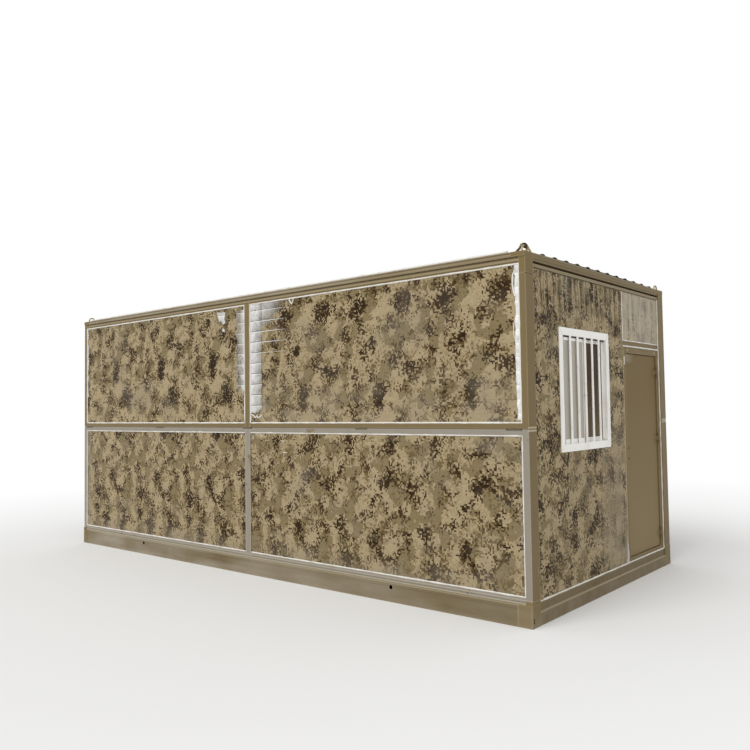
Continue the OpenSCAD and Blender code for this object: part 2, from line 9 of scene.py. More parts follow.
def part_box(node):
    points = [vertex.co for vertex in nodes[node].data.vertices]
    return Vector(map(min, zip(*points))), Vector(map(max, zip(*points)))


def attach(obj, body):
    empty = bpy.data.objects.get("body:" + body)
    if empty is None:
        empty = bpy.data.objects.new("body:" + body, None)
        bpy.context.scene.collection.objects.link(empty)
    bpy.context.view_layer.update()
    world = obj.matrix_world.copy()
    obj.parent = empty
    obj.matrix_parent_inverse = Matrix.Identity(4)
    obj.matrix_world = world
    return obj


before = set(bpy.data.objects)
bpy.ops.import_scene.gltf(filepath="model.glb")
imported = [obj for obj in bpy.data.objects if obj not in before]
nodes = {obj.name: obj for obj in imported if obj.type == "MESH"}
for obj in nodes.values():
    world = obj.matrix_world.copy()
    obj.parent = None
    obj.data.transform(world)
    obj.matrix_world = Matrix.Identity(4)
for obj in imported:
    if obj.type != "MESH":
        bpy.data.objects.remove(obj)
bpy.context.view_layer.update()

# ---- Base beams ----
# Two long side beams and two end beams of bent steel sheet, welded into a ring.
# They stand on the ground, so their olive-tan paint is scuffed and pale with dust.


class Tint:
    """One output of a shader node, which can be added, scaled and compared."""

    def __init__(self, tree, output):
        self.tree, self.output = tree, output

    def node(self, kind, settings=None, inputs=None, output=0):
        """A new shader node: its settings first, then the values or links of its sockets."""
        made = self.tree.nodes.new(kind)
        for key, value in (settings or {}).items():
            setattr(made, key, value)
        for key, value in (inputs or {}).items():
            if isinstance(value, Tint):
                self.tree.links.new(value.output, made.inputs[key])
            elif made.inputs[key].type == "VECTOR":
                made.inputs[key].default_value = value[:3]
            else:
                made.inputs[key].default_value = value
        return Tint(self.tree, made.outputs[output])

    def maths(self, operation, *others):
        """Maths on this and what comes after it."""
        return self.node("ShaderNodeMath", {"operation": operation},
                         dict(enumerate((self, *others))))

    def most(self, *others):
        """The largest of this and the others."""
        top = self
        for other in others:
            top = top.maths("MAXIMUM", other)
        return top

    def __abs__(self):
        return self.maths("ABSOLUTE")

    def __add__(self, other):
        return self.maths("ADD", other)

    def __radd__(self, other):
        return self.maths("ADD", other)

    def __sub__(self, other):
        return self.maths("SUBTRACT", other)

    def __rsub__(self, other):
        return self.node("ShaderNodeMath", {"operation": "SUBTRACT"}, {0: other, 1: self})

    def __mul__(self, other):
        return self.maths("MULTIPLY", other)

    def __rmul__(self, other):
        return self.maths("MULTIPLY", other)

    def __truediv__(self, other):
        return self.maths("DIVIDE", other)

    def __gt__(self, other):
        return self.maths("GREATER_THAN", other)

    def __lt__(self, other):
        return self.maths("LESS_THAN", other)


def colour(red, green, blue):
    """A display colour, 0 to 255 a channel, as the shader takes it."""
    def linear(part):
        part /= 255
        return part / 12.92 if part <= 0.04045 else ((part + 0.055) / 1.055) ** 2.4
    return (linear(red), linear(green), linear(blue), 1.0)


def begin(name):
    """A new material and its object coordinates."""
    material = bpy.data.materials.new(name)
    material.use_nodes = True
    tree = material.node_tree
    tree.nodes.clear()
    return material, Tint(tree, tree.nodes.new("ShaderNodeTexCoord").outputs["Object"])


def parts(place):
    """The three coordinates of a place."""
    return [place.node("ShaderNodeSeparateXYZ", None, {0: place}, axis) for axis in range(3)]


def cloud(place, scale, detail=2.0, stretch=(1, 1, 1), shift=(0, 0, 0), rough=0.5):
    """Soft noise about a half, with this many lumps a metre."""
    moved = place.node("ShaderNodeMapping", None, {0: place, 1: shift, 3: stretch})
    return place.node("ShaderNodeTexNoise", None,
                      {"Vector": moved, "Scale": scale, "Detail": detail, "Roughness": rough})


def lay(under, over, mask):
    """One colour over another where the mask is 1."""
    return mask.node("ShaderNodeMix", {"data_type": "RGBA"}, {0: mask, 6: under, 7: over}, 2)


def shade(tone, amount):
    """A colour made darker or lighter by a number."""
    return amount.node("ShaderNodeVectorMath", {"operation": "SCALE"}, {0: tone, 3: amount})


def fade(value, start, end):
    """0 at start, 1 at end, straight between, and held outside them."""
    return value.node("ShaderNodeMapRange", None, {0: value, 1: start, 2: end, 3: 0.0, 4: 1.0})


def close(material, tone, rough, metal=0.0, height=None, lift=0.001, alpha=None, **fixed):
    """Ends a material in one shader, with a bump from height in metres of lift."""
    tree = material.node_tree
    shader = tree.nodes.new("ShaderNodeBsdfPrincipled")
    if height is not None:
        bump = height.node("ShaderNodeBump", None,
                           {"Strength": 1.0, "Distance": lift, "Height": height})
        tree.links.new(bump.output, shader.inputs["Normal"])
    for key, value in {"Base Color": tone, "Roughness": rough, "Metallic": metal,
                       "Alpha": alpha, **fixed}.items():
        if isinstance(value, Tint):
            tree.links.new(value.output, shader.inputs[key])
        elif value is not None:
            shader.inputs[key].default_value = value
    end = tree.nodes.new("ShaderNodeOutputMaterial")
    tree.links.new(shader.outputs["BSDF"], end.inputs["Surface"])
    return material


EDGE_R = 0.015
DUST_TOP = 0.18


def worn_and_highlit_edge(place):
    """1 on the edges of a piece, where the paint is rubbed pale and a highlight is painted on it, 0 on its
    flat faces.
    """
    true_side = place.node("ShaderNodeNewGeometry", None, None, 3)
    soft_side = place.node("ShaderNodeBevel", {"samples": 6}, {0: EDGE_R})
    match = place.node("ShaderNodeVectorMath", {"operation": "DOT_PRODUCT"},
                       {0: true_side, 1: soft_side}, 1)
    return fade(match, 0.99, 0.80)


def steel_paint(name, tone, dusty, film=0.0, marks=None, rear_paling=0.0, wear=0.35):
    """Satin paint on steel: mottled, scuffed and dusty low down, and paler towards the rear by a given
    share.
    Wear is how far its edges are rubbed pale and given a painted highlight, film is how much grey
    protective film is left on the long sides' faces, and marks gives masks of dark and pale lines."""
    material, place = begin(name)
    x, y, z = parts(place)
    mottle = cloud(place, 1.7, 4)
    grain = cloud(place, 38, 3, rough=0.7)
    streak = cloud(place, 9, 3, (0.12, 1, 1), rough=0.6)
    drip = cloud(place, 14, 3, (1, 1, 0.08), (3, 1, 0))
    coat = shade(tone, 0.86 + mottle * 0.18 + grain * 0.10)
    low = 1 - fade(z, 0.056, DUST_TOP)
    # Dust low down, and a paler tone towards the rear.
    dust = low * 0.40 + dusty + fade(x, 2.9, -2.9) * rear_paling
    dust = dust * fade(streak * 0.6 + mottle * 0.4, 0.30, 0.62)
    coat = lay(coat, colour(163, 154, 137), dust.maths("MINIMUM", 0.85))
    scuff = fade(cloud(place, 34, 3, (0.25, 1, 0.25), (0, 5, 2), 0.6), 0.69, 0.74)
    coat = lay(coat, colour(176, 163, 138), scuff * 0.30)
    chip = fade(cloud(place, 30, 4, (1, 1, 1), (7, 2, 5), 0.75), 0.735, 0.76)
    coat = lay(coat, colour(84, 66, 45), chip * 0.8)
    # Edges are rubbed pale and carry a painted highlight, both in one mask.
    edge = worn_and_highlit_edge(place) * (wear * (0.7 + grain * 0.6))
    coat = lay(coat, colour(186, 170, 138), edge)
    if film:
        torn = fade(cloud(place, 6, 5, (1, 1, 1), (2, 8, 1), 0.7), 0.66, 0.63)
        outside = abs(y) > FILM_FACE
        coat = lay(coat, colour(160, 155, 147), torn * outside * (film * (0.7 + drip * 0.5)))
    # Marks: dark lines, some of them painted shade, and pale lines, some of them painted highlights.
    if marks:
        dark, pale = marks(abs(x), abs(y), z)
        coat = lay(coat, colour(196, 184, 156), pale * 0.8)
        coat = lay(coat, colour(44, 34, 20), dark * 0.9)
    gloss = 0.34 + grain * 0.14 + dust * 0.3
    return close(material, coat, gloss, height=grain * 0.3 + scuff * 0.5 + chip * -0.8,
                 lift=0.0006, **{"Specular IOR Level": 0.06})


def finish_nodes(material, *names):
    """Puts a material on every slot of these frame nodes."""
    for name in names:
        for slot in nodes[name].material_slots:
            slot.material = material


def band(value, low, high):
    """1 between two values."""
    return (value > low) * (value < high)


def base_marks(x, y, z):
    """A pale line on the end beams' step and one under the side beams' top edge, each worn and with a
    painted highlight, and a thin dark line along the side beams.
    """
    step = band(z, 0.086, 0.093) * (x > 2.85) * 0.75
    top = band(z, 0.139, 0.147) * (y > SIDE_FACE) * 0.35
    return band(z, 0.117, 0.1195) * (y > SIDE_FACE) * 0.45, step.most(top)


FILM_FACE = 1.2435
SIDE_FACE = 1.2495
beam_paint = steel_paint("Beam paint", colour(115, 100, 71), 0.02, rear_paling=0.85,
                         marks=base_marks)
finish_nodes(beam_paint, "base_beam_left", "base_beam_right", "base_beam_front", "base_beam_rear")

# ---- Base corners ----
# Folded and welded corner boxes with a short tongue that carries each wall post.
# The paint is the frame's own, rubbed paler round the foot.

post_paint = steel_paint("Post paint", colour(124, 107, 72), 0.03)
finish_nodes(post_paint, "base_corners")

# ---- Floor ----
# Zinc-coated joists between the side beams carry one layer of cement board with a
# wood-print sheet glued on it, in planks along the house.


def zinc(name, tone, dull=0.45):
    """Zinc coating with its large flat crystals, dulled by weather."""
    material, place = begin(name)
    crystal = place.node("ShaderNodeTexVoronoi", {"feature": "F1"},
                         {"Vector": place, "Scale": 85.0}, 1)
    level = crystal.node("ShaderNodeRGBToBW", None, {0: crystal})
    wear = cloud(place, 3, 4)
    coat = shade(tone, 0.80 + level * 0.22 + wear * 0.2)
    white = fade(cloud(place, 11, 5, rough=0.7), 0.60, 0.72)
    coat = lay(coat, colour(196, 194, 188), white * 0.5)
    return close(material, coat, dull + level * -0.12 + white * 0.2, 0.75 - white * 0.5,
                 height=level, lift=0.0001)


joist_zinc = zinc("Joist zinc", colour(150, 152, 152))
finish_nodes(joist_zinc, "floor_joists", "roof_joists")

PLANK_W = 0.145
PLANK_L = 1.22
material, place = begin("Wood-print floor sheet")
x, y, z = parts(place)
row = (y / PLANK_W).maths("FLOOR")
along = x / PLANK_L + row * 0.37
board = along.maths("FLOOR")
pick = row.node("ShaderNodeTexWhiteNoise", {"noise_dimensions": "2D"},
                {"Vector": row.node("ShaderNodeCombineXYZ", None, {0: board, 1: row})})
seam_y = (y / PLANK_W - row).maths("PINGPONG", 0.5)
seam_x = (along - board).maths("PINGPONG", 0.5)
seam = (seam_y < 0.012).most(seam_x < 0.0015)
figure = cloud(place, 9, 5, (0.16, 1, 1), (0, 0, 0), 0.65)
pore = cloud(place, 120, 2, (0.05, 1, 1))
wood = lay(colour(148, 104, 66), colour(96, 62, 38), fade(figure, 0.35, 0.68))
wood = shade(wood, 0.78 + pick * 0.30 + pore * 0.14)
wood = lay(wood, colour(52, 36, 24), seam)
tread = fade(cloud(place, 1.1, 4), 0.45, 0.75)
wood = lay(wood, colour(158, 148, 132), tread * 0.30)
close(material, wood, 0.34 + tread * 0.25, height=pore * 0.3 - seam, lift=0.0008)
finish_nodes(material, "floor_board")

# ---- Long wall frames ----
# Each long wall is two welded frames of square tube, hinged on each other at mid height
# so that it folds inwards. The lower frames still carry their grey protective film.

WELD_SEAM_Z = 2.353
WELD_SEAM_T = 0.0045
POST_END = 2.897
FOLD_Z = 1.305


def frame_marks(x, y, z):
    """The weld seam and a rivet under each roof corner and the fold joint's lips, worn and with a
    painted highlight, on the posts' ends; on the long sides the joint under the roof, dark with
    painted shadow from the roof beam's lip, and lines along the rails."""
    end_face = x > POST_END
    long_face = y > FILM_FACE
    rivet_y, rivet_z = y - 1.236, z - (WELD_SEAM_Z + 0.018)
    rivet = ((rivet_y * rivet_y + rivet_z * rivet_z) < 0.005 ** 2) * end_face
    seam = band(z, WELD_SEAM_Z - WELD_SEAM_T, WELD_SEAM_Z + WELD_SEAM_T) * end_face
    # The band just under the roof is painted shadow from the roof beam's lip.
    dark = seam.most(rivet, band(z, 2.455, 2.4665) * long_face * 0.75,
                     band(z, 2.428, 2.433) * long_face * 0.5,
                     band(z, 0.164, 0.169) * long_face * 0.35)
    lips = band(abs(z - FOLD_Z), 0.004, 0.016) * end_face
    pale = lips.most(band(z, 2.436, 2.450) * long_face * 0.35,
                     band(z, 0.151, 0.159) * long_face * 0.8,
                     band(z, 0.176, 0.182) * long_face * 0.6,
                     band(x, 0.026, 0.034) * long_face * 0.4)
    return dark, pale


upper_paint = steel_paint("Upper frame paint", colour(124, 108, 76), 0.04, marks=frame_marks)
lower_paint = steel_paint("Lower frame paint", colour(124, 108, 76), 0.06, film=0.74,
                          marks=frame_marks)
finish_nodes(upper_paint, "left_upper_frame", "right_upper_frame")
finish_nodes(lower_paint, "left_lower_frame", "right_lower_frame")

# ---- Camouflage boards ----
# Foam-cored boards faced with pressed steel sheet. The outer sheet is printed from a
# roller with small square blots in several earth colours, so the print comes back along it.

BLOT = 0.0120
ROLLER = 0.86
INSIDE_X, INSIDE_Y = 2.84, 1.19


def camouflage(name, run, across, boards, haze, haze_tone=(150, 139, 119)):
    """Printed sheet whose coil ran along the axis run. Boards are the places of the joints
    between sheets, haze gives the mask of dull film from the place and its coordinates."""
    material, place = begin(name)
    axes = parts(place)
    jump = sum(((axes[axis] > at) * (0.31 + 0.17 * number)
                for number, (axis, at) in enumerate(boards)), axes[0] * 0)
    step = (axes[run] + jump) / BLOT
    side = (axes[across] + jump * 0.7) / BLOT
    step = step.maths("FLOOR")
    side = side.maths("FLOOR")
    turn = step * (BLOT * 2 * math.pi / ROLLER)
    girth = ROLLER / (2 * math.pi)
    drum = turn.node("ShaderNodeCombineXYZ", None, {
        0: turn.maths("COSINE") * girth, 1: side * (BLOT * 0.86),
        2: turn.maths("SINE") * girth})
    cell = step.node("ShaderNodeCombineXYZ", None, {0: step, 1: side})
    specks = parts(step.node("ShaderNodeTexWhiteNoise", {"noise_dimensions": "2D"},
                             {"Vector": cell}, 1))
    speck, grit, dash = [one - 0.5 for one in specks]
    rag = cloud(drum, 40, 1.5, (1, 1, 1), (4, 0, 9), 0.7) - 0.5
    blot = cloud(drum, 6.4, 0.5, (1, 1, 1), (0.4, 2.3, 5.1), 0.4) + rag * 0.40 + speck * 0.21
    clump = cloud(drum, 10.5, 0.8, (1, 1, 1), (7.7, 1.2, 3.3), 0.5) + rag * 0.48 + grit * 0.33
    wash = cloud(drum, 7.5, 1.0, (1, 1, 1), (3.1, 9.2, 0.3), 0.5) + rag * 0.26
    drift = cloud(drum, 9.0, 1.0, (1, 1, 1), (6.1, 3.2, 8.3), 0.5) + rag * 0.42 + dash * 0.30

    def over(tone, first, above, second=None, past=0.0):
        mask = first > above
        return lay(sheet, tone, mask if second is None else mask.most(second > past))

    sheet = lay(colour(167, 150, 117), colour(148, 131, 98), drift > 0.52)
    sheet = over(colour(130, 115, 83), wash, 0.555)
    sheet = over(colour(108, 92, 61), drift, 0.655)
    sheet = over(colour(88, 71, 43), clump, 0.655, blot, 0.632)
    sheet = over(colour(61, 44, 21), clump, 0.720, blot, 0.662)
    sheet = over(colour(42, 27, 8), clump, 0.795, blot, 0.708)
    sheet = lay(sheet, colour(128, 111, 80), (dash > 0.40) * (blot > 0.60))
    age = cloud(place, 1.3, 4, (1, 1, 1), (5, 5, 5))
    sheet = shade(sheet, 0.94 + age * 0.14 + grit * 0.16 + speck * 0.08)
    mist = fade(cloud(place, 2.1, 3, (1, 1, 1), (9, 4, 2)), 0.56, 0.72)
    sheet = lay(sheet, colour(132, 123, 109), mist * 0.30)
    rough = 0.42 + mist * 0.12 + age * 0.1
    dull = haze(place, *axes)
    sheet = lay(sheet, colour(*haze_tone), dull)
    rough = rough - dull * 0.08
    inside = (abs(axes[0]) < INSIDE_X) * (abs(axes[1]) < INSIDE_Y)
    plain = shade(colour(214, 213, 208), 0.92 + cloud(place, 2.2, 4) * 0.12)
    sheet = lay(sheet, plain, inside)
    dent = cloud(place, 4.5, 2, (1, 1, 1), (2, 2, 2))
    return close(material, sheet, rough, height=dent, lift=0.004, **{"Specular IOR Level": 0.10})


def long_wall_haze(place, x, y, z):
    """Dust and drying marks on the lower bays, thickest near the foot."""
    wipe = cloud(place, 3.2, 4, (1, 1, 2.2), (1, 1, 1), 0.6)
    foot = (1 - fade(z, 0.22, 0.36)) * fade(wipe, 0.30, 0.60) * 0.50
    smear = (z < 1.29) * fade(wipe, 0.52, 0.74) * 0.26
    rear_edge = (1 - fade(x, -2.80, -2.72)) * (z < 1.29) * 0.5
    sill = (z > 1.34) * (1 - fade(z, 1.52, 1.86)) * (x > 0.04) * fade(wipe, 0.36, 0.58) * 0.34
    return foot.most(smear, rear_edge, sill)


long_wall_sheet = camouflage("Camouflage long wall", 0, 2,
                             [(2, FOLD_Z), (0, 0.0), (1, 0.0)], long_wall_haze)
finish_nodes(long_wall_sheet, "left_lower_panels", "left_upper_panels",
             "right_lower_panels", "right_upper_panels")

SKIN_T = 0.0025
GROOVE_W = 0.007
GROOVE_D = 0.0014


def slab(low, high):
    """A closed block between two corners."""
    block = bmesh.new()
    low, high = Vector(low), Vector(high)
    size = high - low
    bmesh.ops.create_cube(block, size=1.0)
    bmesh.ops.scale(block, vec=size, verts=block.verts)
    bmesh.ops.translate(block, vec=(low + high) / 2, verts=block.verts)
    return block


def cut(block, axis, at):
    """Cuts every face of a block on a plane across an axis."""
    spot, way = Vector((0, 0, 0)), Vector((0, 0, 0))
    spot[axis], way[axis] = at, 1
    bmesh.ops.bisect_plane(block, geom=block.verts[:] + block.edges[:] + block.faces[:],
                           dist=1e-6, plane_co=spot, plane_no=way)


def press_grooves(block, across, face_axis, face_at, grooves):
    """Presses shallow grooves, each (place, width, depth), into the face at face_at."""
    inward = -1 if face_at > 0 else 1
    for at, width, depth in grooves:
        for share in (-0.5, -0.22, 0.22, 0.5):
            cut(block, across, at + share * width)
        for vert in block.verts:
            if abs(vert.co[across] - at) < width * 0.3 and abs(vert.co[face_axis] - face_at) < 1e-5:
                vert.co[face_axis] += inward * depth


def mount(name, shape, material):
    """Makes a mesh or a curve an object of the house."""
    shape.materials.append(material)
    piece = bpy.data.objects.new(name, shape)
    bpy.context.scene.collection.objects.link(piece)
    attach(piece, "house")
    return piece


def fit(name, block, material, smooth=False):
    """Makes a finished block an object of the house."""
    mesh = bpy.data.meshes.new(name)
    block.to_mesh(mesh)
    block.free()
    for face in mesh.polygons:
        face.use_smooth = smooth
    return mount(name, mesh, material)


RIB_PITCH = 0.0945
MULLION_HALF = 0.0375
bays = {}
for side, out in (("left", -1), ("right", 1)):
    for level in ("lower", "upper"):
        low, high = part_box(f"{side}_{level}_panels")
        face = low.y if out < 0 else high.y
        for end, start_x, end_x in (("rear", low.x, -MULLION_HALF), ("front", MULLION_HALF, high.x)):
            outer = face + out * SKIN_T
            sheet = slab((start_x, min(face, outer), low.z), (end_x, max(face, outer), high.z))
            count = int((high.z - low.z) / RIB_PITCH)
            first = (low.z + high.z - (count - 1) * RIB_PITCH) / 2
            press_grooves(sheet, 2, 1, outer,
                          [(first + i * RIB_PITCH, GROOVE_W, GROOVE_D) for i in range(count)])
            fit(f"{side}_{level}_{end}_sheet", sheet, long_wall_sheet)
            bays[side, level, end] = (start_x, end_x, low.z, high.z, outer, out)

# ---- Sealant on the long walls ----
# A bead of white sealant is run by hand round every upper board where it meets the frame,
# and along all but the mullion side of each lower board, so its width wanders and it is
# proud of the sheet by a few millimetres.

material, place = begin("White sealant")
soil = fade(cloud(place, 14, 5, rough=0.7), 0.50, 0.72)
bead_tone = lay(colour(232, 229, 222), colour(176, 166, 148), soil * 0.55)
sealant = close(material, bead_tone, 0.42 + soil * 0.2, height=cloud(place, 120, 3), lift=0.001)


def bead(name, corners, width, closed=True, seed=1, step=0.045, slot="sealant"):
    """A hand-run bead of sealant along straight lines between corners."""
    rng = random.Random(seed)
    path = [Vector(corner) for corner in corners]
    if closed:
        path.append(path[0])
    spots = []
    for start, end in zip(path, path[1:]):
        count = max(2, round((end - start).length / step))
        spots += [start.lerp(end, i / count) for i in range(count)]
    if not closed:
        spots.append(path[-1])
    line = bpy.data.curves.new(name, "CURVE")
    line.dimensions, line.bevel_depth, line.bevel_resolution = "3D", width / 2, 1
    line.use_fill_caps = True
    spline = line.splines.new("POLY")
    spline.points.add(len(spots) - 1)
    spline.use_cyclic_u = closed
    for point, spot in zip(spline.points, spots):
        spot = spot + Vector([rng.uniform(-1, 1) * 0.0006 for _ in range(3)])
        point.co, point.radius = (*spot, 1.0), rng.uniform(0.78, 1.15)
    mount(name, line, sealant)


for number, ((side, level, end), (x0, x1, z0, z1, outer, out)) in enumerate(bays.items()):
    width = 0.015 if level == "upper" else 0.014
    seat = outer + out * 0.0005
    inset = 0.003
    post_x, mullion_x = (x0 + inset, x1 - inset) if end == "rear" else (x1 - inset, x0 + inset)
    bead(f"{side}_{level}_{end}_sealant",
         [(mullion_x, seat, z0 + inset), (post_x, seat, z0 + inset),
          (post_x, seat, z1 - inset), (mullion_x, seat, z1 - inset)], width,
         closed=level == "upper", seed=number)

# ---- Protective film on the left wall ----
# Thin clear film that covered the sheet at the works. Most of it has been pulled off;
# strips stay caught under the sealant, milky and wrinkled, with torn edges.


def film(name, caught, loose, cover=0.96, thin=0.62, rib_dark=0.85, top_only=None):
    """Milky film on the long wall, whitest where it is caught and greyer and thinner at its
    loose edge, both places along the house. The pressed grooves under it show as a painted
    shadow line with a painted highlight below, and the film greys across each rib as painted
    shade. Top_only is the height above which alone the film is left."""
    material, place = begin(name)
    x, y, z = parts(place)
    fold = cloud(place, 18, 4, (1, 1, 1), (4, 4, 4), 0.65)
    crease = cloud(place, 26, 3, (1, 1, 0.35), (0, 6, 0), 0.65)
    away = fade(x, caught, loose)
    share = (z / RIB_PITCH + groove_start).maths("FRACT")
    groove = fade(share, 0.045, 0.02) + fade(share, 0.955, 0.98)
    bright = fade(share, 0.88, 0.93) * (1 - fade(share, 0.955, 0.975))
    grey = away * 0.75 + fade(share, 0.85, 0.1) * 0.22 + fade(fold, 0.42, 0.66) * 0.35
    tone = lay(colour(250, 249, 246), colour(142, 136, 126), grey.maths("MINIMUM", 1.0))
    tone = lay(tone, colour(252, 251, 248), bright)
    tone = lay(tone, colour(74, 62, 46), groove * rib_dark)
    body = cover - away * (cover - thin) - fade(crease, 0.52, 0.72) * away * 0.5
    if top_only:
        left = fade(z + fold * 0.16 - away * 0.26, top_only - 0.05, top_only + 0.10)
        body = body * left * (1 - fade(away, 0.60, 1.0))
        line = bright * (1 - away * away) * fade(z, 1.93, 2.02) * 0.9
        body = body.most(line)
    else:
        body = body * (1 - fade(away + fold * 0.25, 0.98, 1.12))
    body = body.most(0.0)
    return close(material, tone, 0.22 + fold * 0.18, height=crease + fold * 0.5,
                 lift=0.0016, alpha=body.maths("MINIMUM", 1.0))


FILM_STEP = 0.018


def scrap(name, low, high, out_axis, out, material, ragged, curl, seed):
    """A torn piece of film on a wall between two corners. Ragged gives how far each edge
    (low and high along the first way, low and high along the second) wanders inwards."""
    low, high = Vector(low), Vector(high)
    ways = [axis for axis in range(3) if axis != out_axis]
    size = [high[axis] - low[axis] for axis in ways]
    counts = [max(3, round(length / FILM_STEP)) for length in size]
    sheet = bmesh.new()
    bmesh.ops.create_grid(sheet, x_segments=counts[0], y_segments=counts[1], size=0.5)
    for vert in sheet.verts:
        share = [vert.co.x + 0.5, vert.co.y + 0.5]
        spot = Vector((0, 0, 0))
        spot[out_axis] = low[out_axis]
        edge_lift = 0.0
        for number, axis in enumerate(ways):
            other = share[1 - number] * size[1 - number]
            near = abs(noise.noise(Vector((other * 9, seed, number)))) * 1.6
            near += abs(noise.noise(Vector((other * 37, seed + 5, number)))) * 0.7
            far = abs(noise.noise(Vector((other * 9, seed + 11, number)))) * 1.6
            far += abs(noise.noise(Vector((other * 37, seed + 17, number)))) * 0.7
            start = min(near, 1.0) * ragged[number * 2]
            end = size[number] - min(far, 1.0) * ragged[number * 2 + 1]
            spot[axis] = low[axis] + start + max(end - start, 0.002) * share[number]
            if ragged[number * 2] > 0:
                edge_lift = max(edge_lift, 1 - share[number] * counts[number] / 2)
            if ragged[number * 2 + 1] > 0:
                edge_lift = max(edge_lift, 1 - (1 - share[number]) * counts[number] / 2)
        lift = max(edge_lift, 0) * curl * abs(noise.noise(spot * 11 + Vector((seed, 0, 0)))) * 2
        lift += 0.0009 * (1 + noise.noise(spot * 40))
        spot[out_axis] += out * lift
        vert.co = spot
    piece = fit(name, sheet, material, smooth=True)
    thick = piece.modifiers.new("Film thickness", "SOLIDIFY")
    thick.thickness, thick.offset = 0.0003, 0
    return piece


x0, x1, z0, z1, face, out = bays["left", "upper", "front"]
groove_start = 1 - (z0 + z1) / 2 / RIB_PITCH
scrap("film_by_mullion", (x0, face, z0 + 0.085), (x0 + 0.165, face, z1), 1, out,
      film("Milky film by the mullion", x0, x0 + 0.21), (0, 0.008, 0.05, 0), 0.004, 3)
scrap("film_at_top", (x0 + 0.02, face, z1 - 0.50), (x0 + 0.52, face, z1), 1, out,
      film("Thin film at the top", x0, x0 + 0.50, 0.95, 0.35, 0.5, 2.21), (0, 0.03, 0.02, 0), 0.003, 8)
post_film = film("Milky film by the near post", x1 - 0.03, x1 + 0.4, 0.98, 0.9, 0.0)
scrap("film_by_near_post", (x1 - 0.042, face, z0 + 0.02), (x1, face, z1), 1, out,
      post_film, (0.014, 0, 0, 0), 0.004, 12)
shred = dict(closed=False, step=0.02, slot="protective_film")
bead("film_curl_1", [(x1 - 0.036, face, 2.375), (x1 - 0.050, face, 2.345), (x1 - 0.054, face, 2.29),
                     (x1 - 0.048, face, 2.24), (x1 - 0.034, face, 2.20)], 0.012, seed=200, **shred)
bead("film_curl_2", [(x1 - 0.036, face, 1.90), (x1 - 0.052, face, 1.94), (x1 - 0.050, face, 2.01),
                     (x1 - 0.034, face, 2.05)], 0.007, seed=201, **shred)
bead("film_curl_3", [(0.560, face, z1 - 0.002), (0.580, face, z1 - 0.035), (0.598, face, z1 - 0.052),
                     (0.622, face, z1 - 0.004)], 0.013, seed=202, **shred)
bead("film_curl_4", [(x0 + 0.010, face, z0 + 0.080), (x0 + 0.045, face, z0 + 0.068),
                     (x0 + 0.075, face, z0 + 0.048), (x0 + 0.088, face, z0 + 0.070),
                     (x0 + 0.105, face, z0 + 0.045), (x0 + 0.160, face, z0 + 0.074)],
     0.011, seed=203, **shred)
x0, x1, z0, z1, face, out = bays["left", "upper", "rear"]
far_film = film("Milky film on the far bay", x1 + 0.01, x1 - 0.125, 0.95, 0.25, 0.45)
scrap("film_by_mullion_far", (x1 - 0.150, face, 1.60), (x1, face, z1 - 0.04), 1, out,
      far_film, (0.05, 0, 0.16, 0.02), 0.004, 31)
torn_film = film("Torn film", -0.2, -0.9, 0.95, 0.5, 0.4)
scrap("film_torn_patch", (-0.455, face, z1 - 0.165), (-0.315, face, z1 - 0.03), 1, out,
      torn_film, (0.05, 0.04, 0.05, 0.03), 0.006, 45)
scrap("film_torn_bit", (-0.365, face, z1 - 0.225), (-0.325, face, z1 - 0.19), 1, out,
      torn_film, (0.012, 0.012, 0.008, 0.008), 0.003, 43)
rear_film = film("Milky film by the rear post", x0, x0 + 0.1, 0.95, 0.6, 0.9)
scrap("film_by_rear_post", (x0, face, z0 + 0.3), (x0 + 0.035, face, z1), 1, out,
      rear_film, (0, 0.03, 0, 0), 0.005, 51)
x0, x1, z0, z1, face, out = bays["left", "lower", "front"]
dull_strip = film("Dull film by the near post", x1 - 1.0, x1 - 0.1, 0.9, 0.75, 0.0)
scrap("film_lower_by_near_post", (x1 - 0.024, face, z0), (x1, face, z1), 1, out,
      dull_strip, (0.002, 0, 0, 0), 0.001, 58)
for number, (near_x, high_z, long, tall) in enumerate(
        ((0.052, 1.245, 0.030, 0.045), (0.105, 1.238, 0.035, -0.035), (0.175, 1.246, 0.020, 0.02),
         (0.44, 1.195, 0.045, 0.004), (0.47, 1.095, 0.05, 0.004), (-0.105, 1.245, 0.02, 0.03))):
    bead(f"film_shred_{number}", [(near_x, face, high_z), (near_x + long * 0.6, face, high_z - tall),
                                  (near_x + long, face, high_z - tall * 0.2)],
         0.006, seed=210 + number, **shred)

# ---- Fold hinges ----
# Short steel hinges let into the joint between the two wall frames, five a side, with
# their pins on the joint line. They are greased and dark with dirt.

material, place = begin("Greasy hinge steel")
grime = cloud(place, 60, 4, rough=0.7)
hinge_tone = lay(colour(112, 98, 70), colour(58, 48, 34), fade(grime, 0.46, 0.66))
hinge_steel = close(material, hinge_tone, 0.30 + grime * 0.35, 0.15, height=grime, lift=0.0008)
finish_nodes(hinge_steel, "left_fold_hinges", "right_fold_hinges")

# ---- End walls ----
# Boards stand upright between the corner posts under a thin top rail, so their ribs run
# up and down. The same print is turned with them.

front_low, front_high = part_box("front_wall_panel")
BOARD_JOINT = -0.67


def front_wall_haze(place, x, y, z):
    """Film and water marks: a dull band beside the door, and marks near the foot."""
    upright = cloud(place, 8, 4, (1, 1, 0.12), (2, 0, 0), 0.6)
    band = fade(y, -0.22, 0.04) * (1 - fade(z, 1.05, 1.50)) * fade(upright, 0.32, 0.60) * 0.62
    foot = (1 - fade(z, 0.2, 0.75)) * fade(upright, 0.42, 0.7) * 0.35
    return band + foot


end_wall_sheet = camouflage("Camouflage end wall", 2, 1, [(1, BOARD_JOINT), (0, 0.0)],
                            front_wall_haze, (152, 138, 112))
finish_nodes(end_wall_sheet, "front_wall_panel", "rear_wall_panel")

END_RIB = 0.087
END_GROOVE_W = 0.010
JOINT_W, JOINT_D = 0.006, 0.0023


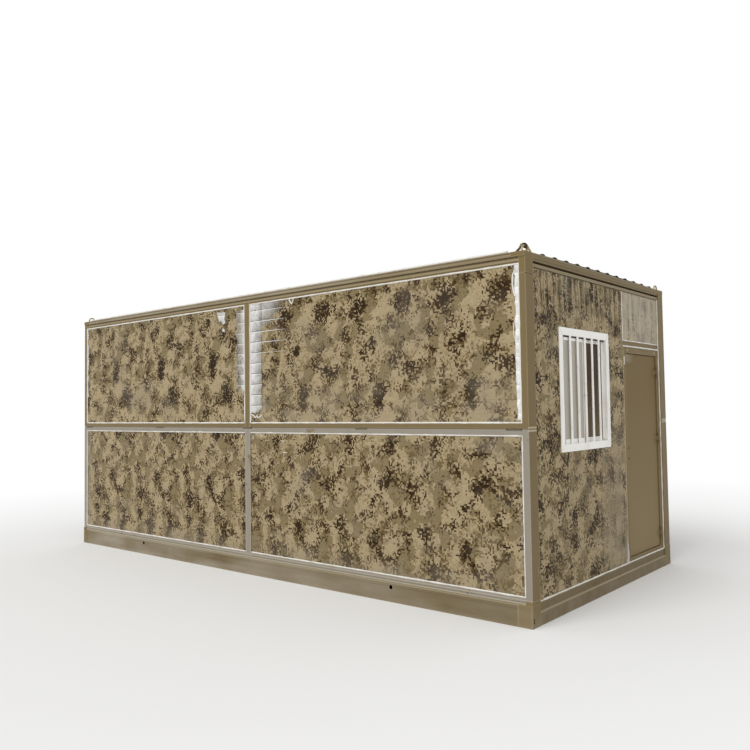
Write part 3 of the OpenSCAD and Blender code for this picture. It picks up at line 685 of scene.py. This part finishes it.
def end_sheet(name, low, high, joints, hole, material):
    """The pressed outer sheet of an end wall, with upright ribs and a window hole."""
    outer = high[0] if high[0] > 0 else low[0]
    sheet = slab(low, high)
    count = int((high[1] - low[1]) / END_RIB)
    first = (low[1] + high[1] - (count - 1) * END_RIB) / 2
    ribs = [first + i * END_RIB for i in range(count)]
    ribs = [at for at in ribs if all(abs(at - joint) > 0.02 for joint in joints)]
    grooves = [(at, END_GROOVE_W, GROOVE_D) for at in ribs]
    grooves += [(joint, JOINT_W, JOINT_D) for joint in joints]
    press_grooves(sheet, 1, 0, outer, grooves)
    if hole:
        for axis, at in zip((1, 1, 2, 2), hole):
            cut(sheet, axis, at)
        inner = [face for face in sheet.faces if abs(face.normal.x) > 0.5
                 and hole[0] < face.calc_center_median().y < hole[1]
                 and hole[2] < face.calc_center_median().z < hole[3]]
        bmesh.ops.delete(sheet, geom=inner, context="FACES")
        rim = [edge for edge in sheet.edges if edge.is_boundary]
        bmesh.ops.bridge_loops(sheet, edges=rim)
        bmesh.ops.recalc_face_normals(sheet, faces=sheet.faces)
    return fit(name, sheet, material)


WALL_FOOT = 0.1505
window_low, window_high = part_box("front_window_frame")
LAP = 0.03
end_sheet("front_wall_sheet", (front_high.x, front_low.y, WALL_FOOT),
          (front_high.x + SKIN_T, front_high.y, front_high.z), (BOARD_JOINT, 0.285),
          (window_low.y + LAP, window_high.y - LAP, window_low.z + LAP, window_high.z - LAP),
          end_wall_sheet)

# Clear film is still caught under the top rail and hangs in upright folds; the lit side of each
# fold is a painted highlight and the other side painted shade. A strip of it hangs in the door corner.
material, place = begin("Folded clear film")
x, y, z = parts(place)
sway = cloud(place, 5, 3, (1, 1, 0.5), (3, 1, 8), 0.6)
lean = y / END_RIB + 0.3 + (sway - 0.5) * 1.4
share = lean.maths("FRACT")
lit = fade(share, 0.12, 0.30) * (1 - fade(share, 0.34, 0.52))
dim = fade(share, 0.55, 0.72) * (1 - fade(share, 0.76, 0.92))
patchy = fade(cloud(place, 7, 3, (1, 1, 0.4), (6, 2, 2), 0.6), 0.36, 0.62)
hang = fade(z + sway * 0.25, 2.13, 2.36) * (1 - fade(z, 2.385, 2.41) * 0.6)
seam_y = abs(y - BOARD_JOINT)
milk = (1 - fade(seam_y, 0.02, 0.10)) * fade(z, 2.10, 2.36) * patchy
tone = lay(colour(94, 77, 50), colour(212, 195, 158), lit)
tone = lay(tone, colour(198, 192, 182), milk)
cover = (lit * 0.60 + dim * 0.30) * hang * (0.35 + patchy * 0.75)
cover = cover.most(milk * 0.45)
folded_film = close(material, tone, 0.30, height=lit, lift=0.003, alpha=cover,
                    **{"Specular IOR Level": 0.06})
scrap("film_under_rail", (front_high.x + SKIN_T, front_low.y + 0.01, 2.00),
      (front_high.x + SKIN_T, 0.34, front_high.z), 0, 1, folded_film, (0, 0, 0.05, 0), 0.002, 71)
material, place = begin("Dull film")
wrinkle = cloud(place, 22, 4, (1, 1, 0.4), (2, 2, 2), 0.65)
dull_film = close(material, lay(colour(214, 208, 196), colour(160, 152, 138), fade(wrinkle, 0.4, 0.6)),
                  0.3, height=wrinkle, lift=0.002, alpha=0.45 + wrinkle * 0.5)
scrap("film_by_door", (front_high.x + SKIN_T, 0.305, 0.16), (front_high.x + SKIN_T, 0.3475, 0.36),
      0, 1, dull_film, (0.02, 0, 0, 0.10), 0.003, 77)

rail_low, rail_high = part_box("front_top_rail")
# The rail's edges carry a strong painted highlight along with their wear.
rail_paint = steel_paint("Rail paint", colour(136, 121, 92), 0.10, wear=0.8)
finish_nodes(rail_paint, "front_top_rail", "rear_top_rail")
# A dark slab in the narrow gap between the rail and the heads of the boards is painted shadow.
gap_shade = steel_paint("Shaded gap paint", colour(52, 42, 24), 0.0)
gap_line = slab((rail_high.x - 0.002, rail_low.y + 0.004, rail_low.z - 0.009),
                (rail_high.x - 0.0005, rail_high.y - 0.004, rail_low.z - 0.0005))
fit("front_rail_gap_shadow", gap_line, gap_shade)

# ---- Window ----
# A white powder-coated steel frame with mitred corners is screwed over the wall opening.
# It holds two sliding sashes and five flat burglar bars.


def powder_coat(name, centre_y, centre_z, half_w, half_h, seal=None):
    """White powder coat, grey in the mitre joints and with dirt run down from the head.
    Seal is the pane's far edges from the centre, where its dark gasket shows with painted shadow beside
    it."""
    material, place = begin(name)
    x, y, z = parts(place)
    grime = cloud(place, 12, 4, (1, 1, 0.25), (1, 3, 2), 0.6)
    fine = cloud(place, 90, 2)
    coat = lay(colour(250, 248, 243), colour(200, 190, 174), fade(grime, 0.50, 0.84) * 0.5)
    mitre = abs((abs(y - centre_y) - half_w) - (abs(z - centre_z) - half_h)) < 0.0016
    coat = lay(coat, colour(146, 138, 124), mitre * 0.8)
    if seal:
        wide = abs(y - centre_y) - seal
        coat = lay(coat, colour(72, 62, 48), (abs(wide) < GASKET_AND_SHADOW_W) * 0.85)
    return close(material, coat, 0.34 + fine * 0.12, height=fine * 0.2 - mitre, lift=0.0006,
                 **{"Specular IOR Level": 0.2})


GASKET_AND_SHADOW_W = 0.009
middle = (window_low + window_high) / 2
half = (window_high - window_low) / 2
glass_low, glass_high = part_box("front_window_glass")
pane_edge = (glass_high.y - glass_low.y) / 2 + GASKET_AND_SHADOW_W / 2
rear_low, rear_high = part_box("rear_window_frame")
for end, centre_y in (("front", middle.y), ("rear", 0.0)):
    coat = powder_coat(f"White powder coat {end}", centre_y, middle.z, half.y, half.z)
    finish_nodes(coat, f"{end}_window_frame", f"{end}_window_bars")
    coat = powder_coat(f"Sash coat {end}", centre_y, middle.z, half.y, half.z, pane_edge)
    finish_nodes(coat, f"{end}_window_sashes")

# The outer pane is dull with dust and film. The inner one is clear; its dark brown, darker towards the
# top, is painted shade seen through the glass.


def pane(name, split, dull_low):
    """Clear glass with the pane on one side of split dulled by film."""
    material, place = begin(name)
    x, y, z = parts(place)
    dust = cloud(place, 6, 4, (1, 1, 0.4), (3, 3, 1), 0.6)
    dull = (y < split) if dull_low else (y > split)
    clear = lay(colour(116, 98, 70), colour(80, 56, 18), fade(z, 1.25, 1.65))
    tone = lay(clear, colour(190, 184, 172), dull * (0.80 + dust * 0.3))
    tone = lay(tone, colour(150, 140, 122), fade(dust, 0.5, 0.9) * 0.2)
    return close(material, tone, 0.10 + dust * 0.12, alpha=0.80 + dull * 0.16 + dust * 0.04,
                 height=dust, lift=0.0005, **{"Specular IOR Level": 0.06})


finish_nodes(pane("Window glass", middle.y, True), "front_window_glass")
finish_nodes(pane("Window glass rear", 0.0, False), "rear_window_glass")

# A dark brush strip lies in the head track in front of the sashes; its dark colour is painted shadow under
# the frame head.
material, place = begin("Brush strip in painted shadow")
pile = cloud(place, 260, 2, (1, 1, 0.1))
shaded_brush_pile = close(material, lay(colour(38, 33, 28), colour(84, 76, 64), pile * 0.6), 0.9,
                   height=pile, lift=0.001)
STRIP_T = 0.003
STRIP_H = 0.012
for end in ("front", "rear"):
    low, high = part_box(f"{end}_window_sashes")
    outer = high.x if end == "front" else low.x - STRIP_T
    strip = slab((outer, low.y + 0.002, high.z - STRIP_H), (outer + STRIP_T, high.y - 0.002, high.z))
    fit(f"{end}_window_head_brush_in_shadow", strip, shaded_brush_pile)

# ---- Panel over the door ----
# A short camouflage board between the rail and a thin bar over the door frame. Its film
# was never pulled off, so the print shows only faintly through streaked grey.


def transom_haze(place, x, y, z):
    """Film all over the short board, in upright streaks."""
    upright = cloud(place, 14, 5, (1, 1, 0.10), (7, 0, 0), 0.65)
    return 0.34 + fade(upright, 0.38, 0.60) * 0.58


transom_sheet = camouflage("Camouflage over the door", 2, 1, [(1, 0.9)], transom_haze,
                           (180, 170, 151))
finish_nodes(transom_sheet, "transom_panel")
over_low, over_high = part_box("transom_panel")
end_sheet("transom_sheet", (over_high.x, over_low.y + 0.001, over_low.z),
          (over_high.x + SKIN_T, over_high.y - 0.001, over_high.z), (), None, transom_sheet)
finish_nodes(upper_paint, "transom_bar")

# ---- Door frame, leaf, hinges and lock ----
# A steel-faced leaf hung on three butt hinges in a bent steel frame. The mortise lock is
# let into the leaf's edge; its handle and cylinder are not fitted, so two holes show.

door_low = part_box("door_leaf")[0]
finish_nodes(post_paint, "door_frame")

material, place = begin("Door paint")
x, y, z = parts(place)
mottle = cloud(place, 1.4, 3, (1, 1, 0.5))
grain = cloud(place, 55, 3, rough=0.7)
rub = cloud(place, 5, 5, (1, 1, 0.3), (1, 4, 4), 0.65)
# The leaf is paler towards the bottom: partly dust, partly a painted reflection.
leaf_tone = lay(colour(140, 123, 90), colour(120, 102, 66), fade(z, 0.30, 1.60))
leaf_tone = shade(leaf_tone, 0.90 + mottle * 0.14 + grain * 0.06)
pale = fade(rub, 0.60, 0.78)
leaf_tone = lay(leaf_tone, colour(150, 137, 112), pale * 0.35)
head_strip = fade(z, 1.80, 1.83) * (1 - fade(y, door_low.y + 0.05, door_low.y + 0.20))
leaf_tone = lay(leaf_tone, colour(158, 147, 124), head_strip * 0.6)
leaf_paint = close(material, leaf_tone, 0.36 + grain * 0.12 + pale * 0.15,
                   height=grain * 0.3 + mottle * 2, lift=0.0008, **{"Specular IOR Level": 0.05})
finish_nodes(leaf_paint, "door_leaf")
finish_nodes(post_paint, "door_hinge_jamb_leaves", "door_hinge_door_leaves")

# Two bright screws hold the head of the frame.
material, place = begin("Screw zinc")
worn = cloud(place, 300, 2)
screw_zinc = close(material, lay(colour(206, 200, 186), colour(150, 142, 124), worn), 0.4, 0.3,
                   height=worn, lift=0.0003)


SCREW_R, SCREW_PROUD = 0.008, 0.003


def screw(name, centre):
    """A pan-head screw in a face that looks to the front."""
    head = bmesh.new()
    bmesh.ops.create_cone(head, cap_ends=True, segments=16, radius1=SCREW_R,
                          radius2=SCREW_R * 0.7, depth=SCREW_PROUD)
    way = Vector((1, 0, 0))
    bmesh.ops.rotate(head, matrix=way.to_track_quat("Z", "Y").to_matrix(), verts=head.verts)
    bmesh.ops.translate(head, vec=Vector(centre) + way * SCREW_PROUD / 2, verts=head.verts)
    fit(name, head, screw_zinc)


frame_low, frame_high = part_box("door_frame")
# The jamb beside the window ends in a narrow folded edge, painted pale as a highlight.
trim_highlight_paint = steel_paint("Trim highlight paint", colour(178, 160, 126), 0.05)
trim = slab((frame_high.x, frame_low.y, frame_low.z + 0.012),
            (frame_high.x + 0.0015, frame_low.y + 0.011, frame_high.z - 0.006))
fit("door_jamb_trim", trim, trim_highlight_paint)
for number, at in enumerate((frame_low.y + 0.10, frame_high.y - 0.10)):
    screw(f"door_head_screw_{number}", (frame_high.x, at, frame_high.z - 0.032))

material, place = begin("Brushed lock steel")
brush = cloud(place, 160, 2, (1, 1, 0.03))
lock_tone = lay(colour(158, 156, 150), colour(102, 98, 90), fade(cloud(place, 30, 4), 0.45, 0.7))
close(material, lock_tone, 0.28 + brush * 0.2, 0.85, height=brush, lift=0.0002)
finish_nodes(material, "door_lock")

# ---- Sealant on the end walls ----
# The same white sealant closes the foot of the wall, the post by the door, the door head
# and the board over the door.

front_face = front_high.x + SKIN_T
post_y = 1.1385
FOOT_Z, POST_TOP, BOARD_END = 0.156, 2.408, 0.345
REVEAL_X, POST_X = 2.8835, 2.8845
head_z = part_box("transom_bar")[0].z
bead("front_foot_sealant", [(front_face, -post_y, FOOT_Z), (front_face, BOARD_END, FOOT_Z)],
     0.013, False, 101)
bead("front_sill_sealant", [(REVEAL_X, BOARD_END, FOOT_Z), (REVEAL_X, post_y, FOOT_Z)], 0.012, False, 102)
bead("door_post_sealant", [(POST_X, post_y, FOOT_Z), (POST_X, post_y, POST_TOP)], 0.013, False, 103)
bead("over_door_sealant", [(front_face, over_low.y, 2.404), (front_face, over_low.y, over_low.z + 0.003),
                           (front_face, over_high.y - 0.004, over_low.z + 0.003)], 0.010, False, 104)
bead("door_head_sealant", [(REVEAL_X, 0.352, head_z), (REVEAL_X, post_y, head_z)], 0.013, False, 105)
bead("door_jamb_drip", [(REVEAL_X, 0.372, 1.86), (REVEAL_X, 0.376, 1.82), (REVEAL_X, 0.373, 1.79)],
     0.010, False, 106)
bead("door_jamb_smear", [(REVEAL_X, 0.350, 0.165), (REVEAL_X, 0.353, 0.24), (REVEAL_X, 0.349, 0.31)],
     0.012, False, 107)

# ---- Rear wall ----
# The far end is closed by three upright boards with a window like the front one in the
# middle board, sealed in the same way.

back_low, back_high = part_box("rear_wall_panel")
end_sheet("rear_wall_sheet", (back_low.x - SKIN_T, back_low.y, WALL_FOOT),
          (back_low.x, back_high.y, back_high.z), (-0.475, 0.475),
          (rear_low.y + LAP, rear_high.y - LAP, rear_low.z + LAP, rear_high.z - LAP), end_wall_sheet)
rear_face = back_low.x - SKIN_T
bead("rear_foot_sealant", [(rear_face, -post_y, FOOT_Z), (rear_face, post_y, FOOT_Z)],
     0.013, False, 111)
for number, side in enumerate((-1, 1)):
    bead(f"rear_post_sealant_{number}", [(rear_face, side * post_y, FOOT_Z),
                                         (rear_face, side * post_y, POST_TOP)], 0.011, False, 112 + number)

# ---- Roof beams and corners ----
# Rolled steel beams with a return along the lower edge, welded to the corner boxes. Their
# mitred welds are ground and painted over.

END_FACE = 2.8995


def roof_marks(x, y, z):
    """Rubbed edges of the roof beams with painted highlights on them, and painted shade in a fold under
    the long sides' upper edge.
    """
    long_face, end_face = y > SIDE_FACE, x > END_FACE
    rim = (z > 2.4985) * long_face * 0.7
    pale = rim.most(band(z, 2.473, 2.485) * long_face * 0.25, (z > 2.495) * end_face * 0.4,
                    (z < 2.4465) * end_face * 0.5)
    return band(z, 2.487, 2.4925) * long_face * 0.4, pale


roof_paint = steel_paint("Roof beam paint", colour(122, 107, 78), 0.06, marks=roof_marks,
                         rear_paling=0.9)
finish_nodes(roof_paint, "roof_beam_left", "roof_beam_right", "roof_beam_front", "roof_beam_rear")
finish_nodes(post_paint, "roof_corners")

# ---- Ceiling ----
# One layer of white coated boards lies between the wall heads, under the joists, with
# fine ribs across the house.

material, place = begin("White ceiling sheet")
x, y, z = parts(place)
wave = x * (2 * math.pi / 0.1)
# The ribs are recessed and painted darker, as painted shade.
rib = fade(wave.maths("COSINE"), 0.86, 0.97)
plain = shade(colour(216, 216, 212), 0.92 + cloud(place, 1.6, 4) * 0.12)
close(material, lay(plain, colour(180, 178, 172), rib * 0.4), 0.4 + rib * 0.1,
      height=rib * -1.0, lift=0.001)
finish_nodes(material, "ceiling_panel")

# ---- Roof sheet ----
# Zinc-coated sheet with lengthwise ribs, crowned to shed rain and screwed down through
# the ribs. A bead of white sealant runs along both long edges.

roof_zinc = zinc("Roof zinc", colour(128, 127, 123), 0.5)
finish_nodes(roof_zinc, "roof_sheet")
sheet_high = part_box("roof_sheet")[1]
SEAM_END, SEAM_Z = 2.76, 2.5075
for number, side in enumerate((-1, 1)):
    edge_y = side * (sheet_high.y - 0.001)
    bead(f"roof_edge_sealant_{number}", [(-SEAM_END, edge_y, SEAM_Z), (SEAM_END, edge_y, SEAM_Z)],
         0.020, False, 121 + number, 0.03)

# ---- Lifting rings ----
# Bent round bar welded on each roof corner for the crane hooks, painted with the frame
# and rubbed bright by the slings.

material, place = begin("Ring paint")
rub = cloud(place, 45, 4, rough=0.7)
ring_tone = lay(colour(206, 186, 142), colour(128, 110, 76), fade(rub, 0.42, 0.64))
close(material, ring_tone, 0.35 + rub * 0.25, 0.1, height=rub, lift=0.0006)
finish_nodes(material, "lifting_rings")

# A scrap of worn sling is still knotted on the ring nearest the door: dark flat webbing
# wound round the bar, with two short ends, and a paler strip over it.


def webbing(name, dark, pale):
    """Woven webbing with its cross ribs, frayed paler in places."""
    material, place = begin(name)
    x, y, z = parts(place)
    rib = (x * 900 + y * 500).maths("SINE")
    fray = cloud(place, 90, 4, rough=0.7)
    tone = shade(lay(dark, pale, fade(fray, 0.52, 0.66)), 0.85 + rib * 0.10)
    return close(material, tone, 0.9, height=rib * 0.5 + fray, lift=0.001)


def strap(name, spots, half_w, material):
    """A short flat strap through a few places, smooth between them."""
    line = bpy.data.curves.new(name, "CURVE")
    line.dimensions, line.extrude, line.bevel_depth, line.bevel_resolution = "3D", half_w, 0.0012, 1
    spline = line.splines.new("NURBS")
    spline.points.add(len(spots) - 1)
    spline.order_u, spline.use_endpoint_u, spline.resolution_u = 3, True, 6
    for point, spot in zip(spline.points, spots):
        point.co = (*spot, 1.0)
    mount(name, line, material)


ring_low, ring_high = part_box("lifting_rings")
BAR_R = 0.007
bar_x, bar_y, bar_z = ring_high.x - BAR_R, ring_low.y + 0.039, ring_high.z - BAR_R
wind = [(bar_x + 0.0105 * math.cos(angle), bar_y + 0.0012 * angle, bar_z + 0.0105 * math.sin(angle))
        for angle in [step * math.pi / 4 for step in range(-2, 11)]]
dark_web = webbing("Dark webbing", colour(62, 46, 26), colour(136, 114, 78))
pale_web = webbing("Pale webbing", colour(176, 154, 112), colour(222, 208, 176))
strap("sling_scrap_wind", wind + [(bar_x - 0.030, bar_y + 0.016, bar_z + 0.004),
                                  (bar_x - 0.048, bar_y + 0.013, bar_z + 0.004)], 0.009, dark_web)
strap("sling_scrap_tail",
      [(bar_x + 0.009, bar_y - 0.012, bar_z + 0.004), (bar_x - 0.004, bar_y - 0.010, bar_z + 0.010),
       (bar_x - 0.014, bar_y - 0.006, bar_z), (bar_x - 0.032, bar_y - 0.010, bar_z - 0.018),
       (bar_x - 0.058, bar_y - 0.014, bar_z - 0.040)], 0.009, dark_web)
strap("sling_scrap_pale",
      [(bar_x - 0.020, bar_y - 0.020, bar_z + 0.002), (bar_x - 0.006, bar_y, bar_z + 0.011),
       (bar_x + 0.010, bar_y + 0.016, bar_z + 0.006), (bar_x + 0.014, bar_y + 0.030, bar_z - 0.020),
       (bar_x + 0.026, bar_y + 0.040, bar_z - 0.042)], 0.007, pale_web)

# ---- Stand, camera and light ----
# A plain pale floor that runs into a plain sky, and one broad soft lamp. The camera stands
# off the front left corner and looks slightly up.


def in_view(tree):
    """1 for a thing seen straight, in a shiny face or through glass, 0 where it only lights."""
    path = tree.nodes.new("ShaderNodeLightPath")
    straight, mirrored, through = [Tint(tree, path.outputs[f"Is {way} Ray"])
                                   for way in ("Camera", "Glossy", "Transmission")]
    return straight.most(mirrored, through)


bpy.ops.mesh.primitive_plane_add(size=160)
floor = bpy.context.object
floor.name = "floor"
material, place = begin("Pale floor")
spread = place.node("ShaderNodeVectorMath", {"operation": "LENGTH"}, {0: place}, 1)
tree = material.node_tree
matt = tree.nodes.new("ShaderNodeBsdfDiffuse")
matt.inputs["Color"].default_value = (0.90, 0.90, 0.895, 1)
glow = tree.nodes.new("ShaderNodeEmission")
choose = tree.nodes.new("ShaderNodeMixShader")
tree.links.new((in_view(tree) * fade(spread, 4.0, 9.0)).output, choose.inputs[0])
tree.links.new(matt.outputs[0], choose.inputs[1])
tree.links.new(glow.outputs[0], choose.inputs[2])
end = tree.nodes.new("ShaderNodeOutputMaterial")
tree.links.new(choose.outputs[0], end.inputs["Surface"])
floor.data.materials.append(material)

sky = bpy.data.worlds.new("Plain sky")
sky.use_nodes = True
tree = sky.node_tree
tree.nodes.clear()
SKY_LIGHT = 0.68
level = in_view(tree) * (1 - SKY_LIGHT) + SKY_LIGHT
air = tree.nodes.new("ShaderNodeBackground")
tree.links.new(level.output, air.inputs["Strength"])
air.inputs["Color"].default_value = (1, 1, 1, 1)
end = tree.nodes.new("ShaderNodeOutputWorld")
tree.links.new(air.outputs[0], end.inputs["Surface"])
bpy.context.scene.world = sky

sun = bpy.data.lights.new("Soft lamp", "SUN")
sun.energy = 1.25
sun.angle = math.radians(40)
lamp = bpy.data.objects.new("Soft lamp", sun)
lamp.rotation_euler = Vector((0.12, 1.0, -1.1)).to_track_quat("-Z", "Y").to_euler()
bpy.context.scene.collection.objects.link(lamp)

YAW, PITCH, ROLL = (math.radians(angle) for angle in (38.373, 2.453, -0.966))
ahead = Vector((-math.sin(YAW) * math.cos(PITCH), math.cos(YAW) * math.cos(PITCH), math.sin(PITCH)))
level_right = Vector((math.cos(YAW), math.sin(YAW), 0))
level_up = level_right.cross(ahead)
right = math.cos(ROLL) * level_right + math.sin(ROLL) * level_up
up = math.cos(ROLL) * level_up - math.sin(ROLL) * level_right
lens = bpy.data.cameras.new("Camera")
lens.lens, lens.sensor_width, lens.sensor_fit = 35.942, 36, "HORIZONTAL"
lens.shift_x = -0.06
lens.clip_end = 400
camera = bpy.data.objects.new("Camera", lens)
turn = Matrix((right, up, -ahead)).transposed().to_4x4()
camera.matrix_world = Matrix.Translation((5.4187, -5.5731, 1.4646)) @ turn
bpy.context.scene.collection.objects.link(camera)
bpy.context.scene.camera = camera
bpy.context.scene.view_settings.view_transform = "Standard"
